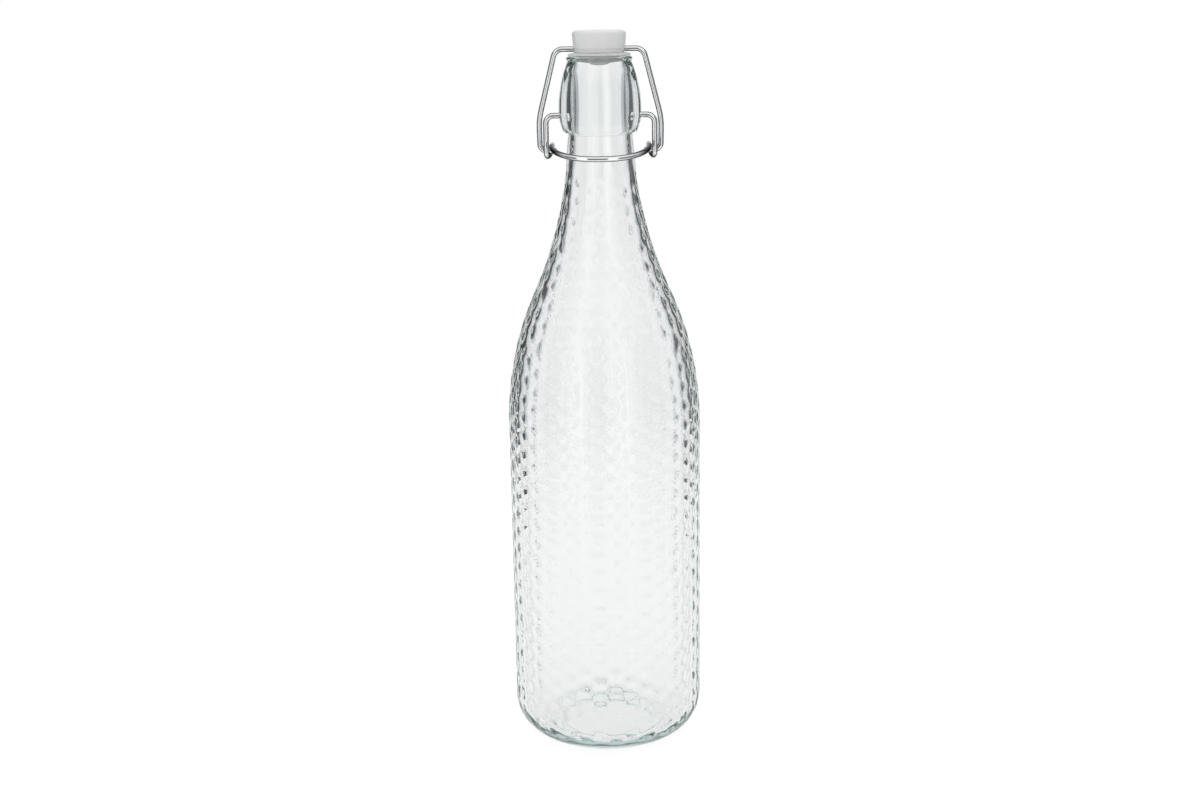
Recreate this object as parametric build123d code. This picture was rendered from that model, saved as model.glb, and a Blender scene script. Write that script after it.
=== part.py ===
from build123d import *
import os
from math import acos, cos, degrees, radians, sin, tan

# A swing-top bottle of clear glass: a round bottle, the two wires of its closure, the plastic stopper
# head that the upper wire carries, and the soft gasket on the head's spigot.
# Millimetres. The origin is the centre of the base on the table, +Z is up, and the lever's ring is at -Y.

# Bottle body
bottle_height = 304.2
body_radius = 42.5
wall = 2.8
heel_radius = 15.5
standing_ring_width = 3.0
push_up_height = 4.0
base_thickness = 4.6
floor_corner_radius = 10.5
shoulder_radius = 140.5
neck_flare_radius = 178.0
neck_radius = 13.7
neck_straight_height = 12.0
neck_taper = 5.4

# Finish: the collar that the wires grip and the lip that the gasket seals on
bore_radius = 10.9
mouth_rounding = 0.9
mouth_depth = 4.0
throat_drop = 8.0
throat_wall = 2.3
collar_height = 31.7
collar_radius = 17.65
collar_widest_drop = 22.7
collar_foot_inset = 1.65
lip_radius = 14.0
lip_height = 2.0
lip_groove_depth = 0.5
lip_flat_inset = 0.9
pivot_drop = 24.7
pivot_hole_depth = 3.6

# Lever wire, from the collar's holes to the ring in front of the neck
lever_wire_radius = 1.2
pivot_clearance = 0.05
pivot_end_gap = 0.3
lever_arm_stand_off = 5.55
lever_elbow_bend = 3.3
eye_drop = 15.0
eye_clearance = 0.05
eye_bend_easing = 0.05
coil_gap = 0.15
ring_dip_reach = 5.0
ring_dip_bend = 12.0
ring_reach = 24.0
ring_bend = 19.0
ring_lip_gap = 1.0

# Yoke wire, from the stopper head down to the lever's eyes
yoke_wire_radius = 1.15
wire_above_lip = 2.9
yoke_top_x = 18.6
yoke_top_bend = 4.0
yoke_waist_spread = 0.2
yoke_waist_drop = 29.3
yoke_waist_bend = 30.0
yoke_lever_gap = 0.35
yoke_foot_bend = 2.8
yoke_pin_overhang = 0.6

# Stopper head
head_radius = 11.4
head_taper_inset = 0.4
head_rounding = 1.7
cap_height = 7.4
cap_above_wire = 0.3
hub_radius = 10.5
hub_below_wire = 1.4
head_hole_clearance = 0.05
spigot_radius = 4.6
spigot_drop = 8.3
barb_size = 1.0
barb_height = 1.6

# Gasket
gasket_rim_inset = 0.6
gasket_rim_height = 0.6
gasket_top_inset = 0.3
gasket_lip_gap = 0.3
plug_clearance = 0.6
plug_taper_inset = 0.4
plug_depth = 3.2

# Sizes that follow
collar_bottom_z = bottle_height - collar_height
pivot_z = bottle_height - pivot_drop
eye_radius = lever_wire_radius + yoke_wire_radius + eye_clearance
eye_y = eye_radius
eye_z = pivot_z - eye_drop
coil_step = 2 * lever_wire_radius + coil_gap
lever_arm_x = collar_radius + lever_arm_stand_off
ring_arm_x = lever_arm_x - coil_step
ring_front_z = pivot_z - lip_radius - lever_wire_radius - ring_lip_gap
yoke_foot_x = lever_arm_x + lever_wire_radius + yoke_wire_radius + yoke_lever_gap
yoke_wire_z = bottle_height + wire_above_lip
hub_bottom_z = yoke_wire_z - hub_below_wire


def spin(edges):
    """A solid of revolution about the bottle's axis from an outline drawn as radius and height."""
    return revolve(Plane.XZ * make_face(edges), Axis.Z)


def shoulder_place():
    """The angle that the shoulder turns through, and the height where it starts above the straight side."""
    flare_end_radius = neck_radius + neck_straight_height * tan(radians(neck_taper))
    both_radii = shoulder_radius + neck_flare_radius
    narrowing = body_radius - flare_end_radius
    reach = shoulder_radius + neck_flare_radius * cos(radians(neck_taper)) - narrowing
    angle = acos(reach / both_radii)
    rise = both_radii * sin(angle) - neck_flare_radius * sin(radians(neck_taper))
    return degrees(angle), collar_bottom_z - neck_straight_height - rise


def outer_line():
    """The outside of the glass, from the standing ring's inner edge to the top of the lip."""
    shoulder_angle, shoulder_start_z = shoulder_place()
    foot = Line((body_radius - heel_radius - standing_ring_width, 0), (body_radius - heel_radius, 0))
    heel = JernArc(foot @ 1, (1, 0), heel_radius, 90)
    side = Line(heel @ 1, (body_radius, shoulder_start_z))
    shoulder = JernArc(side @ 1, (0, 1), shoulder_radius, shoulder_angle)
    flare = JernArc(shoulder @ 1, shoulder % 1, neck_flare_radius, neck_taper - shoulder_angle)
    neck = Line(flare @ 1, (neck_radius, collar_bottom_z))
    ledge = Line(neck @ 1, (collar_radius - collar_foot_inset, collar_bottom_z))
    widest = (collar_radius, bottle_height - collar_widest_drop)
    groove = (lip_radius - lip_groove_depth, bottle_height - lip_height)
    collar_foot = TangentArc(widest, ledge @ 1, tangent=(0, -1))
    collar = TangentArc(widest, groove, tangent=(0, 1))
    lip_middle = (lip_radius, bottle_height - lip_height / 2)
    lip = ThreePointArc(groove, lip_middle, (lip_radius - lip_flat_inset, bottle_height))
    return [foot, heel, side, shoulder, flare, neck, ledge, collar_foot, collar, lip]


def inner_line():
    """The inside of the glass, from the lip's flat top down the mouth and throat to the middle of the floor."""
    shoulder_angle, shoulder_start_z = shoulder_place()
    inner_radius = body_radius - wall
    throat_radius = neck_radius - throat_wall
    flat = Line((lip_radius - lip_flat_inset, bottle_height), (bore_radius + mouth_rounding, bottle_height))
    mouth = JernArc(flat @ 1, (-1, 0), mouth_rounding, 90)
    shoulder = JernArc((inner_radius, shoulder_start_z), (0, 1), shoulder_radius - wall, shoulder_angle)
    flare = JernArc(shoulder @ 1, shoulder % 1, neck_flare_radius + wall, neck_taper - shoulder_angle)
    throat_top = (throat_radius, bottle_height - throat_drop)
    bore = Polyline(mouth @ 1, (bore_radius, bottle_height - mouth_depth), throat_top)
    throat = Polyline(throat_top, (throat_radius, collar_bottom_z), flare @ 1)
    side = Line((inner_radius, shoulder_start_z), (inner_radius, base_thickness + floor_corner_radius))
    corner = RadiusArc(side @ 1, (inner_radius - floor_corner_radius, base_thickness), floor_corner_radius)
    floor = TangentArc((0, push_up_height + base_thickness), corner @ 1, tangent=(1, 0))
    return [flat, mouth, bore, throat, flare, shoulder, side, corner, floor]


def push_up_line():
    """The hollow under the base, and the thickness of glass above it on the axis."""
    ring_inner_radius = body_radius - heel_radius - standing_ring_width
    hollow = TangentArc((0, push_up_height), (ring_inner_radius, 0), tangent=(1, 0))
    middle = Line((0, push_up_height), (0, push_up_height + base_thickness))
    return [hollow, middle]


def bottle():
    """One piece of blown glass with two blind holes in the collar for the lever's tips."""
    glass = spin(outer_line() + inner_line() + push_up_line())
    hole = Cylinder(lever_wire_radius + pivot_clearance, pivot_hole_depth * 2, rotation=(0, 90, 0))
    for side in (-1, 1):
        glass -= Pos(side * collar_radius, 0, pivot_z) * hole
    return glass


def bent_wire(corners, bends, wire_radius):
    """A round wire that is the same on both sides, bent to a radius at each corner of its route."""
    other_side = [(-x, y, z) for x, y, z in reversed(corners)]
    route = FilletPolyline(*corners, *other_side, radius=bends + bends[::-1])
    start = Plane(origin=route @ 0, z_dir=route % 0)
    return sweep(start * Circle(wire_radius), path=route)


def lever_wire():
    """The lower wire: tips in the collar, arms down to a turn round the yoke, and the ring in front."""
    eye_bend = eye_radius - eye_bend_easing
    tip_x = collar_radius - pivot_hole_depth + pivot_end_gap
    corners = [
        (-tip_x, 0, pivot_z),
        (-lever_arm_x, 0, pivot_z),
        (-lever_arm_x, 0, eye_z - eye_radius),
        (-lever_arm_x + coil_step / 2, eye_y + eye_radius, eye_z - eye_radius),
        (-ring_arm_x, eye_y + eye_radius, eye_z + eye_radius),
        (-ring_arm_x, -ring_dip_reach, eye_z + eye_radius),
        (-ring_arm_x, -ring_reach, ring_front_z),
    ]
    bends = [lever_elbow_bend, eye_bend, eye_bend, eye_bend, ring_dip_bend, ring_bend]
    return bent_wire(corners, bends, lever_wire_radius)


def yoke_wire():
    """The upper wire: through the head, down both sides of the collar, and in through the lever's eyes."""
    slope = eye_y / (yoke_wire_z - eye_z)
    pin_tip_x = ring_arm_x - lever_wire_radius - yoke_pin_overhang
    corners = [
        (-pin_tip_x, eye_y, eye_z),
        (-yoke_foot_x, eye_y, eye_z),
        (-yoke_foot_x - yoke_waist_spread, slope * yoke_waist_drop, yoke_wire_z - yoke_waist_drop),
        (-yoke_top_x, 0, yoke_wire_z),
    ]
    bends = [yoke_foot_bend, yoke_waist_bend, yoke_top_bend]
    return bent_wire(corners, bends, yoke_wire_radius)


def stopper_head():
    """The moulded plastic head: a cap over a hub with the cross hole, and a barbed spigot below."""
    cap_bottom_z = yoke_wire_z + cap_above_wire
    cap_top_z = cap_bottom_z + cap_height
    edge_z = cap_top_z - head_rounding
    barb_bottom_z = yoke_wire_z - spigot_drop
    outline = Polyline(
        (0, cap_top_z),
        (0, barb_bottom_z),
        (spigot_radius, barb_bottom_z),
        (spigot_radius + barb_size, barb_bottom_z + barb_height),
        (spigot_radius, barb_bottom_z + barb_height),
        (spigot_radius, hub_bottom_z),
        (hub_radius, hub_bottom_z),
        (hub_radius, cap_bottom_z),
        (head_radius - head_taper_inset, cap_bottom_z),
        (head_radius, edge_z),
    )
    edge = TangentArc((head_radius - head_rounding, cap_top_z), (head_radius, edge_z), tangent=(1, 0))
    top = Line((0, cap_top_z), (head_radius - head_rounding, cap_top_z))
    hole = Cylinder(yoke_wire_radius + head_hole_clearance, 4 * head_radius, rotation=(0, 90, 0))
    return spin([outline, edge, top]) - Pos(0, 0, yoke_wire_z) * hole


def gasket():
    """The soft ring on the spigot: a conical rim over the lip and a plug in the bore."""
    plug_bottom_z = bottle_height - plug_depth
    plug_radius = bore_radius - plug_clearance
    rim_radius = lip_radius - gasket_rim_inset
    rim_z = bottle_height + gasket_lip_gap
    outline = Polyline(
        (spigot_radius, plug_bottom_z),
        (plug_radius - plug_taper_inset, plug_bottom_z),
        (plug_radius, rim_z),
        (rim_radius, rim_z),
        (rim_radius, rim_z + gasket_rim_height),
        (hub_radius - gasket_top_inset, hub_bottom_z),
        (spigot_radius, hub_bottom_z),
        close=True,
    )
    return spin(outline)


pieces = {
    "bottle": bottle(),
    "lever_wire": lever_wire(),
    "yoke_wire": yoke_wire(),
    "stopper_head": stopper_head(),
    "gasket": gasket(),
}
os.makedirs("parts", exist_ok=True)
for name, piece in pieces.items():
    export_step(piece, f"parts/{name}.step")
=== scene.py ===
from math import acos, atan2, cos, pi, radians, sin, tan

import bpy
import numpy as np
from mathutils import Matrix, Vector


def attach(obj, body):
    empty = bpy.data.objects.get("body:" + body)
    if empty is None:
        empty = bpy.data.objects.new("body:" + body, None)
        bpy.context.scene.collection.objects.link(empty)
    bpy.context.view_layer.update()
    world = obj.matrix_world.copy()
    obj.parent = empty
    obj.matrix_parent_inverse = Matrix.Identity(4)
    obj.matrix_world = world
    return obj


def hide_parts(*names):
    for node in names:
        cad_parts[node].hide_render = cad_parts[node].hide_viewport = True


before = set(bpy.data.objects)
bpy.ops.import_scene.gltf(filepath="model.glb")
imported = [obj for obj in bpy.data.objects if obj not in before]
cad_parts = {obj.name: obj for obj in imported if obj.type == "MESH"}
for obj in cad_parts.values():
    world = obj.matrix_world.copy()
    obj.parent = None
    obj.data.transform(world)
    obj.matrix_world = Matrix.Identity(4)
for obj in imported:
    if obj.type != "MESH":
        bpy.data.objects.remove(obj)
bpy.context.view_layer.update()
MM = 0.001

# The studio. A white sweep of floor under the bottle and a white wall of light behind it, with a dark
# flag on each side of that wall, so that clear glass and bright wire are drawn by their edges.


class Signal:
    """An output in a node tree that can be added, multiplied and divided like a number."""

    def __init__(self, tree, socket):
        self.tree = tree
        self.socket = socket

    def maths(self, operation, *values):
        return self.tree.add("ShaderNodeMath", {"operation": operation}, dict(enumerate(values)))[0]

    def __add__(self, other):
        return self.maths("ADD", self, other)

    def __mul__(self, other):
        return self.maths("MULTIPLY", self, other)

    def __truediv__(self, other):
        return self.maths("DIVIDE", self, other)


class Tree:
    """A node tree that is filled by adding one node at a time."""

    def __init__(self, owner):
        owner.use_nodes = True
        self.nodes = owner.node_tree.nodes
        self.links = owner.node_tree.links
        self.nodes.clear()

    def add(self, kind, settings=None, inputs=None):
        node = self.nodes.new(kind)
        for name, value in (settings or {}).items():
            if name == "stops":
                self.set_stops(node.color_ramp, value)
            else:
                setattr(node, name, value)
        for name, value in (inputs or {}).items():
            if isinstance(value, Signal):
                self.links.new(value.socket, node.inputs[name])
            else:
                node.inputs[name].default_value = value
        return [Signal(self, output) for output in node.outputs]

    def set_stops(self, ramp, stops):
        while len(ramp.elements) < len(stops):
            ramp.elements.new(1.0)
        for element, (place, colour) in zip(ramp.elements, stops):
            element.position = place
            element.color = (*colour, 1.0) if isinstance(colour, tuple) else (colour, colour, colour, 1.0)


side_grey = (0.55, 0.59, 0.63)
light_round = [
    (-180, 0.20),
    (-158, 0.20),
    (-156, 1.30),
    (-132, 1.30),
    (-130, 0.20),
    (-100, 0.20),
    (-98, side_grey),
    (-60, side_grey),
    (-58, 0.02),
    (-30, 0.02),
    (-29, 0.50),
    (-21, 0.50),
    (-20, 0.92),
    (20, 0.92),
    (21, 0.60),
    (29, 0.60),
    (30, 0.08),
    (58, 0.08),
    (60, side_grey),
    (98, side_grey),
    (100, 0.25),
    (146, 0.25),
    (148, 1.30),
    (170, 1.30),
    (172, 0.20),
    (180, 0.20),
]
ceiling_start = 0.35
ceiling_full = 0.6
ceiling_light = 1.0
world = bpy.data.worlds.new("studio")
bpy.context.scene.world = world
tree = Tree(world)
direction = tree.add("ShaderNodeTexCoord")[0]
x, y, z = tree.add("ShaderNodeSeparateXYZ", inputs={0: direction})
turn = x.maths("ARCTAN2", x, y) / (2 * pi) + 0.5
stops = [(degrees_round / 360 + 0.5, light) for degrees_round, light in light_round]
around = tree.add("ShaderNodeValToRGB", {"stops": stops}, {"Fac": turn})[0]
overhead = tree.add(
    "ShaderNodeMapRange",
    {"interpolation_type": "SMOOTHSTEP"},
    {"Value": z, "From Min": ceiling_start, "From Max": ceiling_full},
)[0]
ceiling = (ceiling_light, ceiling_light, ceiling_light, 1)
lit = tree.add("ShaderNodeMix", {"data_type": "RGBA"}, {"Factor": overhead, 6: around, 7: ceiling})[2]
seen = tree.add("ShaderNodeLightPath")[0]
backdrop = tree.add("ShaderNodeMix", {"data_type": "RGBA"}, {"Factor": seen, 6: lit, 7: (1, 1, 1, 1)})[2]
background = tree.add("ShaderNodeBackground", inputs={"Color": backdrop, "Strength": 1.0})[0]
tree.add("ShaderNodeOutputWorld", inputs={"Surface": background})

bpy.ops.object.select_all(action="DESELECT")
bpy.ops.mesh.primitive_circle_add(vertices=96, radius=0.5, fill_type="NGON", location=(0, 0, -0.0002))
floor = bpy.context.object
floor.name = "floor"
bpy.ops.object.transform_apply(location=True)
material = bpy.data.materials.new("white_sweep")
tree = Tree(material)
seen = tree.add("ShaderNodeLightPath")[0]
glow_on_glass = (0.77, 0.77, 0.77, 1)
glow_in_view = (0.9, 0.9, 0.9, 1)
glow = tree.add(
    "ShaderNodeMix", {"data_type": "RGBA"}, {"Factor": seen, 6: glow_on_glass, 7: glow_in_view}
)[2]
surface = tree.add(
    "ShaderNodeBsdfPrincipled",
    inputs={
        "Base Color": (0.2, 0.2, 0.2, 1),
        "Roughness": 0.9,
        "Specular IOR Level": 0.0,
        "Emission Color": glow,
        "Emission Strength": 1.0,
    },
)[0]
tree.add("ShaderNodeOutputMaterial", inputs={"Surface": surface})
floor.data.materials.append(material)

camera_distance = 0.700
camera_height = 0.334
camera_pitch = radians(14.4)
camera_roll = radians(-0.83)
camera = bpy.data.objects.new("camera", bpy.data.cameras.new("camera"))
bpy.context.collection.objects.link(camera)
camera.data.sensor_width = 36.0
camera.data.lens = 48.75
camera.data.shift_x = -0.0035
camera.data.clip_start = 0.01
camera.matrix_world = (
    Matrix.Translation((0, -camera_distance, camera_height))
    @ Matrix.Rotation(pi / 2 - camera_pitch, 4, "X")
    @ Matrix.Rotation(camera_roll, 4, "Z")
)
bpy.context.scene.camera = camera
bpy.context.scene.view_settings.view_transform = "Standard"
bpy.context.scene.cycles.max_bounces = 24
bpy.context.scene.cycles.transmission_bounces = 24
bpy.context.scene.cycles.glossy_bounces = 24

# The bottle. One piece of clear soda-lime glass, blown into a mould that presses a honeycomb of shallow
# dimples into the outside. The inside is smooth, the base is thick and pushed up in the middle, and the
# neck ends in a plain collar with a blind hole on each side and a rounded lip.
body_radius = 42.5 * MM
bottle_height = 304.2 * MM
wall = 2.8 * MM
heel_radius = 15.5 * MM
standing_ring_width = 3.0 * MM
push_up_height = 4.0 * MM
base_thickness = 4.6 * MM
floor_corner_radius = 10.5 * MM
shoulder_radius = 140.5 * MM
neck_flare_radius = 178.0 * MM
neck_radius = 13.7 * MM
neck_straight_height = 12.0 * MM
neck_taper = radians(5.4)
bore_radius = 10.9 * MM
mouth_rounding = 0.9 * MM
mouth_depth = 4.0 * MM
throat_drop = 8.0 * MM
throat_radius = neck_radius - 2.3 * MM
collar_bottom = bottle_height - 31.7 * MM
collar_radius = 17.65 * MM
collar_widest = bottle_height - 22.7 * MM
collar_foot_radius = 16.0 * MM
lip_radius = 14.0 * MM
lip_height = 2.0 * MM
lip_groove_depth = 0.5 * MM
lip_flat_radius = 13.1 * MM
pivot_height = bottle_height - 24.7 * MM
pivot_hole_radius = 1.25 * MM
pivot_hole_depth = 3.6 * MM
row_height = 1.36 * MM
inner_row_height = 9.0 * MM
spin_steps = 288
ring_rise = 4.15 * MM
cells_in_ring = [(37 * MM, 19), (29 * MM, 15), (22 * MM, 12), (0, 9)]
dimple_depth = 0.68 * MM
dimple_hollow_radius = 13.5 * MM
dimple_unevenness = 0.2
dimple_wander = 0.5 * MM
ridge_rounding = 0.008 * MM
ridge_inset = 0.04 * MM
pattern_foot = 4.0 * MM
pattern_foot_fade = 7.0 * MM
pattern_top = 250.0 * MM
pattern_top_fade = 9.0 * MM


class Pen:
    """Draws an outline in the XZ plane as one chain of edges: extruded straight runs and spun arcs."""

    def __init__(self, name, point, heading):
        bpy.ops.object.select_all(action="DESELECT")
        bpy.ops.mesh.primitive_plane_add(size=1 * MM, location=(point[0], 0, point[1]))
        self.piece = bpy.context.object
        self.piece.name = self.piece.data.name = name
        bpy.ops.object.transform_apply(location=True)
        bpy.ops.object.mode_set(mode="EDIT")
        bpy.ops.mesh.select_mode(type="VERT")
        bpy.ops.mesh.merge(type="CENTER")
        self.point = Vector(point)
        self.heading = Vector(heading).normalized()

    def run(self, end, steps=1):
        stride = (Vector(end) - self.point) / steps
        for _ in range(steps):
            bpy.ops.mesh.extrude_region_move(TRANSFORM_OT_translate={"value": (stride.x, 0, stride.y)})
        self.heading = stride.normalized()
        self.point = Vector(end)

    def arc(self, radius, turn, steps):
        """An arc that leaves along the heading. A positive turn goes left, from +X towards +Z."""
        side = 1 if turn > 0 else -1
        to_centre = Vector((-self.heading.y, self.heading.x)) * radius * side
        centre = self.point + to_centre
        bpy.ops.mesh.spin(steps=steps, angle=abs(turn), center=(centre.x, 0, centre.y), axis=(0, side, 0))
        rotation = Matrix.Rotation(turn, 2)
        self.point = centre - rotation @ to_centre
        self.heading = rotation @ self.heading

    def arc_to(self, end, steps):
        """The arc that leaves along the heading and ends at the given point."""
        chord = Vector(end) - self.point
        lean = atan2(self.heading.cross(chord), self.heading.dot(chord))
        self.arc(chord.length / (2 * abs(sin(lean))), 2 * lean, steps)

    def spin(self, steps):
        """Turns the outline once about the Z axis and closes the seam and the poles."""
        bpy.ops.mesh.select_all(action="SELECT")
        bpy.ops.mesh.spin(steps=steps, angle=2 * pi, center=(0, 0, 0), axis=(0, 0, 1))
        bpy.ops.mesh.select_all(action="SELECT")
        bpy.ops.mesh.remove_doubles(threshold=0.01 * MM)
        bpy.ops.mesh.normals_make_consistent(inside=False)
        bpy.ops.object.mode_set(mode="OBJECT")
        bpy.ops.object.shade_smooth_by_angle(angle=radians(14))
        return self.piece


def rows(length, height):
    return max(1, round(length / height))


# The outside, from the middle of the push-up to the top of the lip.
flare_end_radius = neck_radius + neck_straight_height * tan(neck_taper)
both_radii = shoulder_radius + neck_flare_radius
shoulder_reach = shoulder_radius + neck_flare_radius * cos(neck_taper) - body_radius + flare_end_radius
shoulder_angle = acos(shoulder_reach / both_radii)
shoulder_rise = both_radii * sin(shoulder_angle) - neck_flare_radius * sin(neck_taper)
shoulder_start = collar_bottom - neck_straight_height - shoulder_rise
foot_radius = body_radius - heel_radius
ledge_rounding = 0.9 * MM
pen = Pen("bottle_glass", (0, push_up_height), (1, 0))
pen.arc_to((foot_radius - standing_ring_width, 0), 8)
pen.run((foot_radius, 0), 2)
pen.arc(heel_radius, pi / 2, rows(heel_radius * pi / 2, row_height))
pen.run((body_radius, shoulder_start), rows(shoulder_start - heel_radius, row_height))
pen.arc(shoulder_radius, shoulder_angle, rows(shoulder_radius * shoulder_angle, row_height))
flare_turn = neck_taper - shoulder_angle
pen.arc(neck_flare_radius, flare_turn, rows(neck_flare_radius * -flare_turn, row_height))
ledge_start = ledge_rounding * tan((pi / 2 + neck_taper) / 2)
pen.run(
    (neck_radius + ledge_start * sin(neck_taper), collar_bottom - ledge_start * cos(neck_taper)), 5
)
pen.arc(ledge_rounding, -pi / 2 - neck_taper, 9)
pen.run((collar_foot_radius - ledge_rounding, pen.point.y))
widest = Vector((collar_radius, collar_widest))
collar_lean = 2 * atan2(collar_radius - collar_foot_radius, collar_widest - collar_bottom - ledge_rounding)
pen.arc(ledge_rounding, pi / 2 - collar_lean, 8)
pen.arc_to(widest, 7)
pen.heading = Vector((0, 1))
pen.arc_to((lip_radius - lip_groove_depth, bottle_height - lip_height), 14)
pen.heading = Vector((0.85, 0.5)).normalized()
pen.arc_to((lip_flat_radius, bottle_height), 14)
bpy.ops.object.mode_set(mode="OBJECT")
outside_count = len(pen.piece.data.vertices)
bpy.ops.object.mode_set(mode="EDIT")

# The inside, from the lip down the bore and the body to the middle of the floor.
inner_radius = body_radius - wall
inner_shoulder_radius = shoulder_radius - wall
inner_flare_radius = neck_flare_radius + wall
flare_end = Vector((flare_end_radius, collar_bottom - neck_straight_height))
flare_end -= wall * Vector((cos(neck_taper), sin(neck_taper)))
pen.run((bore_radius + mouth_rounding, bottle_height), 2)
pen.heading = Vector((-1, 0))
pen.arc(mouth_rounding, pi / 2, 8)
pen.run((bore_radius, bottle_height - mouth_depth), 2)
throat_lean = 2 * atan2(throat_radius - bore_radius, throat_drop - mouth_depth)
throat_bend = (throat_drop - mouth_depth) / 2 / sin(throat_lean)
pen.heading = Vector((0, -1))
pen.arc(throat_bend, throat_lean, 5)
pen.arc(throat_bend, -throat_lean, 5)
pen.run((throat_radius, collar_bottom), 3)
pen.run(flare_end, 2)
pen.heading = Vector((sin(neck_taper), -cos(neck_taper)))
flare_rows = rows(-inner_flare_radius * flare_turn, inner_row_height)
pen.arc(inner_flare_radius, -flare_turn, flare_rows)
shoulder_rows = rows(inner_shoulder_radius * shoulder_angle, inner_row_height)
pen.arc(inner_shoulder_radius, -shoulder_angle, shoulder_rows)
side_foot = base_thickness + floor_corner_radius
pen.run((inner_radius, side_foot), rows(shoulder_start - side_foot, inner_row_height))
floor_edge = Vector((inner_radius - floor_corner_radius, base_thickness))
floor_middle = Vector((0, push_up_height + base_thickness))
pen.arc(floor_corner_radius, -pi / 2, 10)
floor_lean = atan2(floor_middle.y - floor_edge.y, floor_edge.x)
pen.heading = Vector((-cos(2 * floor_lean), sin(2 * floor_lean)))
pen.arc_to(floor_middle, 8)
bpy.ops.object.mode_set(mode="OBJECT")

# How far along the outside each point lies, from the standing ring upwards, so that the dimples keep
# their height where the wall leans in. The inside and the push-up are marked with -1.
outline = pen.piece.data
radius, height = np.array([(v.co.x, v.co.z) for v in outline.vertices]).T
drawn_first = np.arange(len(radius)) < outside_count
outside = np.flatnonzero(drawn_first & ((radius > foot_radius - 0.01 * MM) | (height > push_up_height + MM)))
outside = outside[np.lexsort((radius[outside], height[outside]))]
path_radius, path_height = radius[outside], height[outside]
path_along = np.concatenate(([0], np.cumsum(np.hypot(np.diff(path_radius), np.diff(path_height)))))
marks = np.full(len(radius), -1.0)
marks[outside] = path_along
outline.attributes.new("along", "FLOAT", "POINT").data.foreach_set("value", marks)
bpy.ops.object.mode_set(mode="EDIT")
bottle = pen.spin(spin_steps)


def dimple_fall(turn, along):
    """How far the pattern lies below the ridges' height at a place on the outside, in metres."""
    dice = np.random.default_rng(7)
    rings = int(path_along[-1] / ring_rise) + 1
    ring_along = np.arange(rings) * ring_rise
    ring_radius = np.interp(ring_along, path_along, path_radius)
    ring_cells = np.array([next(cells for least, cells in cells_in_ring if r >= least) for r in ring_radius])
    wander = dice.uniform(-dimple_wander, dimple_wander, (rings, 20, 2))
    depth = 1 - dice.uniform(0, dimple_unevenness, (rings, 20))
    radius_here = np.interp(along, path_along, path_radius)
    ring_below = np.floor(along / ring_rise).astype(int)
    total = np.zeros(len(turn))
    level = np.zeros(len(turn))
    for step in range(-2, 4):
        ring = np.clip(ring_below + step, 0, rings - 1)
        cells = ring_cells[ring]
        place_round = (turn / (2 * pi) % 1) * cells - 0.5 * (ring % 2)
        for cell in (np.floor(place_round), np.floor(place_round) + 1):
            key = (ring, (cell % cells).astype(int))
            sideways = (place_round - cell) * 2 * pi / cells * radius_here + wander[key][:, 0]
            upwards = along - ring_along[ring] + wander[key][:, 1]
            bowl = dimple_depth * depth[key] - (sideways**2 + upwards**2) / (2 * dimple_hollow_radius)
            weight = np.exp(np.clip(bowl / ridge_rounding, -60, 60))
            total += weight
            level += weight * bowl
    return np.maximum(level / total, 0)


points = np.empty(len(bottle.data.vertices) * 3)
bottle.data.vertices.foreach_get("co", points)
points = points.reshape(-1, 3)
marks = np.empty(len(points))
bottle.data.attributes["along"].data.foreach_get("value", marks)
patterned = marks >= 0
turn = np.arctan2(points[patterned, 1], points[patterned, 0])
along = marks[patterned]
level = points[patterned, 2]
fall = dimple_fall(turn, along) + ridge_inset
fall *= np.clip((level - pattern_foot) / pattern_foot_fade, 0, 1)
fall *= np.clip((pattern_top + pattern_top_fade - level) / pattern_top_fade, 0, 1)
lean_out = np.interp(along, path_along, np.gradient(path_height, path_along))
lean_up = -np.interp(along, path_along, np.gradient(path_radius, path_along))
points[patterned, 0] -= fall * lean_out * np.cos(turn)
points[patterned, 1] -= fall * lean_out * np.sin(turn)
points[patterned, 2] -= fall * lean_up
bottle.data.vertices.foreach_set("co", points.ravel())
bottle.data.update()

for side in (-1, 1):
    bpy.ops.object.select_all(action="DESELECT")
    bpy.ops.mesh.primitive_cylinder_add(
        vertices=32,
        radius=pivot_hole_radius,
        depth=2 * pivot_hole_depth,
        location=(side * collar_radius, 0, pivot_height),
        rotation=(0, pi / 2, 0),
    )
    drill = bpy.context.object
    hole = bottle.modifiers.new("pivot_hole", "BOOLEAN")
    hole.object = drill
    bpy.context.view_layer.objects.active = bottle
    bpy.ops.object.modifier_apply(modifier=hole.name)
    bpy.data.objects.remove(drill)

material = bpy.data.materials.new("clear_glass")
tree = Tree(material)
place = tree.add("ShaderNodeTexCoord")[3]
handled = tree.add("ShaderNodeTexNoise", inputs={"Vector": place, "Scale": 55.0, "Detail": 3.0})[0]
smear = tree.add(
    "ShaderNodeMapRange", inputs={"Value": handled, "From Min": 0.5, "From Max": 0.75, "To Max": 0.03}
)[0]
ripple = tree.add("ShaderNodeTexNoise", inputs={"Vector": place, "Scale": 60.0, "Detail": 1.0})[0]
waves = tree.add("ShaderNodeBump", inputs={"Height": ripple, "Strength": 0.2, "Distance": 0.15 * MM})[0]
surface = tree.add(
    "ShaderNodeBsdfPrincipled",
    inputs={
        "Base Color": (1.0, 1.0, 1.0, 1),
        "Roughness": smear,
        "IOR": 1.52,
        "Transmission Weight": 1.0,
        "Normal": waves,
    },
)[0]
tint = tree.add("ShaderNodeVolumeAbsorption", inputs={"Color": (0.42, 0.62, 0.59, 1), "Density": 14.0})[0]
tree.add("ShaderNodeOutputMaterial", inputs={"Surface": surface, "Volume": tint})
bottle.data.materials.clear()
bottle.data.materials.append(material)
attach(bottle, "glass_body")
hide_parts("bottle")

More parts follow.
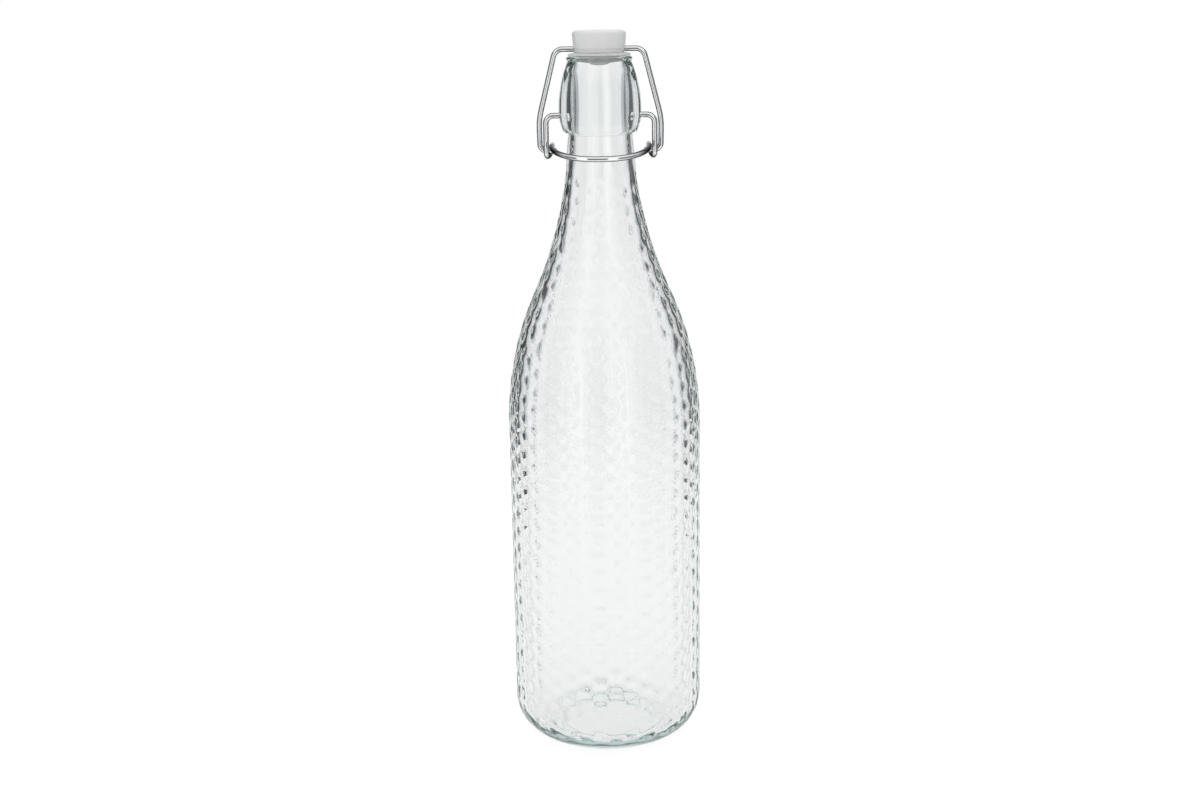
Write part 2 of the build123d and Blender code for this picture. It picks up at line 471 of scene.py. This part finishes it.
# The lever wire. Bright zinc-plated spring wire, bent cold: two tips in the collar's holes, two arms, a
# turn round the yoke's end on each side, and the ring in front of the neck that the thumb lifts.
lever_wire_radius = 1.2 * MM
yoke_wire_radius = 1.15 * MM
eye_clearance = 0.05 * MM
eye_radius = lever_wire_radius + yoke_wire_radius + eye_clearance
eye_height = pivot_height - 15.0 * MM
lever_arm_x = collar_radius + 5.55 * MM
coil_step = 2 * lever_wire_radius + 0.15 * MM
ring_arm_x = lever_arm_x - coil_step
ring_dip_reach = 5.0 * MM
ring_reach = 24.0 * MM
ring_front_height = pivot_height - lip_radius - lever_wire_radius - 1.0 * MM
tip_inset = 3.3 * MM
elbow_bend = 3.3 * MM
eye_bend_easing = 0.05 * MM
ring_dip_bend = 12.0 * MM
ring_bend = 19.0 * MM
wire_facets = 20


def bend_wire(name, corners, bends, wire_radius):
    """Makes a wire that is the same on both sides: a ring pulled along its runs and spun round its bends."""
    route = [Vector(c) for c in corners] + [Vector((-c[0], c[1], c[2])) for c in reversed(corners)]
    bends = bends + bends[::-1]
    heading = (route[1] - route[0]).normalized()
    bpy.ops.object.select_all(action="DESELECT")
    bpy.ops.mesh.primitive_circle_add(
        vertices=wire_facets,
        radius=wire_radius,
        location=route[0],
        rotation=heading.to_track_quat("Z", "Y").to_euler(),
    )
    wire = bpy.context.object
    wire.name = wire.data.name = name
    bpy.ops.object.transform_apply(location=True, rotation=True)
    bpy.ops.object.mode_set(mode="EDIT")
    point = route[0]
    for corner, after, bend in zip(route[1:-1], route[2:], bends):
        leaving = (after - corner).normalized()
        turn = heading.angle(leaving)
        start = corner - heading * bend * tan(turn / 2)
        bpy.ops.mesh.extrude_region_move(TRANSFORM_OT_translate={"value": start - point})
        axis = heading.cross(leaving).normalized()
        centre = start + axis.cross(heading) * bend
        steps = max(4, round(turn / radians(6)))
        bpy.ops.mesh.spin(steps=steps, angle=turn, center=centre, axis=-axis)
        point = corner + leaving * bend * tan(turn / 2)
        heading = leaving
    bpy.ops.mesh.extrude_region_move(TRANSFORM_OT_translate={"value": route[-1] - point})
    bpy.ops.mesh.select_all(action="SELECT")
    bpy.ops.mesh.remove_doubles(threshold=0.001 * MM)
    bpy.ops.mesh.select_all(action="DESELECT")
    bpy.ops.mesh.select_mode(type="EDGE")
    bpy.ops.mesh.select_non_manifold()
    bpy.ops.mesh.fill_holes(sides=0)
    bpy.ops.mesh.select_all(action="SELECT")
    bpy.ops.mesh.fill_holes(sides=0)
    bpy.ops.mesh.normals_make_consistent(inside=False)
    bpy.ops.object.mode_set(mode="OBJECT")
    ends = wire.modifiers.new("cut_ends", "BEVEL")
    ends.width = 0.25 * MM
    ends.segments = 3
    ends.limit_method = "ANGLE"
    ends.angle_limit = radians(60)
    bpy.ops.object.modifier_apply(modifier=ends.name)
    bpy.ops.object.shade_smooth_by_angle(angle=radians(40))
    return wire


eye_bend = eye_radius - eye_bend_easing
lever = bend_wire(
    "lever_wire_bright",
    [
        (-collar_radius + tip_inset, 0, pivot_height),
        (-lever_arm_x, 0, pivot_height),
        (-lever_arm_x, 0, eye_height - eye_radius),
        (-lever_arm_x + coil_step / 2, 2 * eye_radius, eye_height - eye_radius),
        (-ring_arm_x, 2 * eye_radius, eye_height + eye_radius),
        (-ring_arm_x, -ring_dip_reach, eye_height + eye_radius),
        (-ring_arm_x, -ring_reach, ring_front_height),
    ],
    [elbow_bend, eye_bend, eye_bend, eye_bend, ring_dip_bend, ring_bend],
    lever_wire_radius,
)
material = bpy.data.materials.new("bright_wire")
tree = Tree(material)
place = tree.add("ShaderNodeTexCoord")[3]
haze = tree.add("ShaderNodeTexNoise", inputs={"Vector": place, "Scale": 90.0, "Detail": 2.0})[0]
grain = tree.add("ShaderNodeTexNoise", inputs={"Vector": place, "Scale": 2200.0, "Detail": 2.0})[0]
dull_zinc = (0.80, 0.81, 0.82, 1)
bright_zinc = (0.88, 0.88, 0.89, 1)
metal = tree.add("ShaderNodeMix", {"data_type": "RGBA"}, {"Factor": haze, 6: dull_zinc, 7: bright_zinc})[2]
# Painted shade: the wire's base colour goes near black where its surface turns away from the view, standing
# in for the dark reflections along its edges.
facing = tree.add("ShaderNodeLayerWeight", inputs={"Blend": 0.5})[1]
painted_edge_shade = tree.add("ShaderNodeMapRange", inputs={"Value": facing, "From Min": 0.2, "From Max": 0.46})[0]
surface = tree.add(
    "ShaderNodeBsdfPrincipled",
    inputs={
        "Base Color": tree.add(
            "ShaderNodeMix",
            {"data_type": "RGBA"},
            {"Factor": painted_edge_shade, 6: metal, 7: (0.04, 0.04, 0.045, 1)},
        )[2],
        "Metallic": 1.0,
        "Roughness": haze * 0.06 + 0.09,
        "Normal": tree.add(
            "ShaderNodeBump", inputs={"Height": grain, "Strength": 0.04, "Distance": 0.01 * MM}
        )[0],
    },
)[0]
tree.add("ShaderNodeOutputMaterial", inputs={"Surface": surface})
lever.data.materials.append(material)
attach(lever, "lever")
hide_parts("lever_wire")

# The yoke wire. The same bright wire a little thinner: it passes through the head, goes down both sides
# of the collar and ends inward through the lever's eyes.
head_wire_height = bottle_height + 2.9 * MM
yoke_lever_gap = 0.35 * MM
yoke_pin_overhang = 0.6 * MM
yoke_waist_spread = 0.2 * MM
yoke_top_x = 18.6 * MM
yoke_foot_x = lever_arm_x + lever_wire_radius + yoke_wire_radius + yoke_lever_gap
yoke_waist_drop = 29.3 * MM
yoke_lean = eye_radius / (head_wire_height - eye_height)
yoke = bend_wire(
    "yoke_wire_bright",
    [
        (-ring_arm_x + lever_wire_radius + yoke_pin_overhang, eye_radius, eye_height),
        (-yoke_foot_x, eye_radius, eye_height),
        (
            -yoke_foot_x - yoke_waist_spread,
            yoke_lean * yoke_waist_drop,
            head_wire_height - yoke_waist_drop,
        ),
        (-yoke_top_x, 0, head_wire_height),
    ],
    [2.8 * MM, 30.0 * MM, 4.0 * MM],
    yoke_wire_radius,
)
yoke.data.materials.append(material)
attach(yoke, "yoke")
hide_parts("yoke_wire")

# The stopper head. Moulded white plastic: a cap with a rounded rim over a hub that the yoke passes
# through, and a spigot below whose barb holds the gasket on.
head_radius = 11.4 * MM
head_rounding = 1.7 * MM
cap_bottom = head_wire_height + 0.3 * MM
cap_top = cap_bottom + 7.4 * MM
hub_radius = 10.5 * MM
hub_bottom = head_wire_height - 1.4 * MM
spigot_radius = 4.6 * MM
spigot_bottom = head_wire_height - 8.3 * MM
barb_size = 1.0 * MM
head_facets = 96
pen = Pen("stopper_head_moulded", (0, spigot_bottom), (1, 0))
pen.run((spigot_radius - 0.4 * MM, spigot_bottom))
pen.run((spigot_radius, spigot_bottom + 0.2 * MM))
pen.run((spigot_radius + barb_size, spigot_bottom + 1.5 * MM))
pen.run((spigot_radius + barb_size, spigot_bottom + 1.6 * MM))
pen.run((spigot_radius, spigot_bottom + 1.6 * MM))
pen.run((spigot_radius, hub_bottom), 3)
pen.run((hub_radius - 0.3 * MM, hub_bottom), 3)
pen.heading = Vector((1, 0))
pen.arc(0.3 * MM, pi / 2, 8)
pen.run((hub_radius, cap_bottom), 3)
pen.run((head_radius - 0.7 * MM, cap_bottom))
pen.heading = Vector((1, 0))
pen.arc(0.3 * MM, radians(87), 8)
pen.run((head_radius, cap_top - head_rounding), 4)
pen.heading = Vector((0, 1))
pen.arc(head_rounding, radians(82), 10)
pen.run((head_radius - 2.6 * MM, cap_top), 2)
pen.run((0, cap_top - 0.15 * MM), 4)
head = pen.spin(head_facets)
bpy.ops.object.select_all(action="DESELECT")
bpy.ops.mesh.primitive_cylinder_add(
    vertices=32,
    radius=yoke_wire_radius + 0.05 * MM,
    depth=4 * head_radius,
    location=(0, 0, head_wire_height),
    rotation=(0, pi / 2, 0),
)
drill = bpy.context.object
hole = head.modifiers.new("cross_hole", "BOOLEAN")
hole.object = drill
bpy.context.view_layer.objects.active = head
bpy.ops.object.modifier_apply(modifier=hole.name)
bpy.data.objects.remove(drill)
material = bpy.data.materials.new("white_plastic")
tree = Tree(material)
place = tree.add("ShaderNodeTexCoord")[3]
cloud = tree.add("ShaderNodeTexNoise", inputs={"Vector": place, "Scale": 180.0, "Detail": 3.0})[0]
skin = tree.add("ShaderNodeTexNoise", inputs={"Vector": place, "Scale": 1800.0, "Detail": 2.0})[0]
surface = tree.add(
    "ShaderNodeBsdfPrincipled",
    inputs={
        "Base Color": tree.add(
            "ShaderNodeMix",
            {"data_type": "RGBA"},
            {"Factor": cloud, 6: (0.84, 0.84, 0.83, 1), 7: (0.90, 0.90, 0.90, 1)},
        )[2],
        "Roughness": cloud * 0.15 + 0.3,
        "Subsurface Weight": 0.25,
        "Subsurface Radius": (1.0, 1.0, 1.0),
        "Subsurface Scale": 2 * MM,
        "Normal": tree.add(
            "ShaderNodeBump", inputs={"Height": skin, "Strength": 0.2, "Distance": 0.02 * MM}
        )[0],
    },
)[0]
tree.add("ShaderNodeOutputMaterial", inputs={"Surface": surface})
head.data.materials.clear()
head.data.materials.append(material)
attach(head, "stopper")
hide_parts("stopper_head")

# The gasket. A ring of translucent silicone pushed on over the barb: its thin conical rim lies on the
# lip, and its plug goes down into the bore.
plug_radius = bore_radius - 0.6 * MM
plug_bottom = bottle_height - 3.2 * MM
rim_radius = lip_radius - 0.6 * MM
rim_bottom = bottle_height + 0.3 * MM
pen = Pen("silicone_gasket", (spigot_radius, plug_bottom), (1, 0))
pen.run((plug_radius - 0.9 * MM, plug_bottom), 2)
pen.heading = Vector((1, 0))
pen.arc(0.5 * MM, radians(85), 8)
pen.run((plug_radius, rim_bottom - 0.3 * MM), 3)
pen.arc(0.3 * MM, -radians(85), 8)
pen.run((rim_radius - 0.3 * MM, rim_bottom), 3)
pen.heading = Vector((1, 0))
pen.arc(0.3 * MM, radians(155), 13)
pen.run((hub_radius - 0.3 * MM, hub_bottom), 4)
pen.run((spigot_radius, hub_bottom), 2)
pen.run((spigot_radius, plug_bottom), 2)
gasket = pen.spin(head_facets)
material = bpy.data.materials.new("silicone")
tree = Tree(material)
place = tree.add("ShaderNodeTexCoord")[3]
cloud = tree.add("ShaderNodeTexNoise", inputs={"Vector": place, "Scale": 300.0, "Detail": 3.0})[0]
surface = tree.add(
    "ShaderNodeBsdfPrincipled",
    inputs={
        "Base Color": tree.add(
            "ShaderNodeMix",
            {"data_type": "RGBA"},
            {"Factor": cloud, 6: (0.93, 0.94, 0.93, 1), 7: (0.98, 0.98, 0.97, 1)},
        )[2],
        "Roughness": cloud * 0.15 + 0.35,
        "IOR": 1.41,
        "Transmission Weight": 0.25,
        "Subsurface Weight": 0.7,
        "Subsurface Radius": (1.0, 1.0, 1.0),
        "Subsurface Scale": 1.5 * MM,
    },
)[0]
tree.add("ShaderNodeOutputMaterial", inputs={"Surface": surface})
gasket.data.materials.append(material)
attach(gasket, "stopper")
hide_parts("gasket")
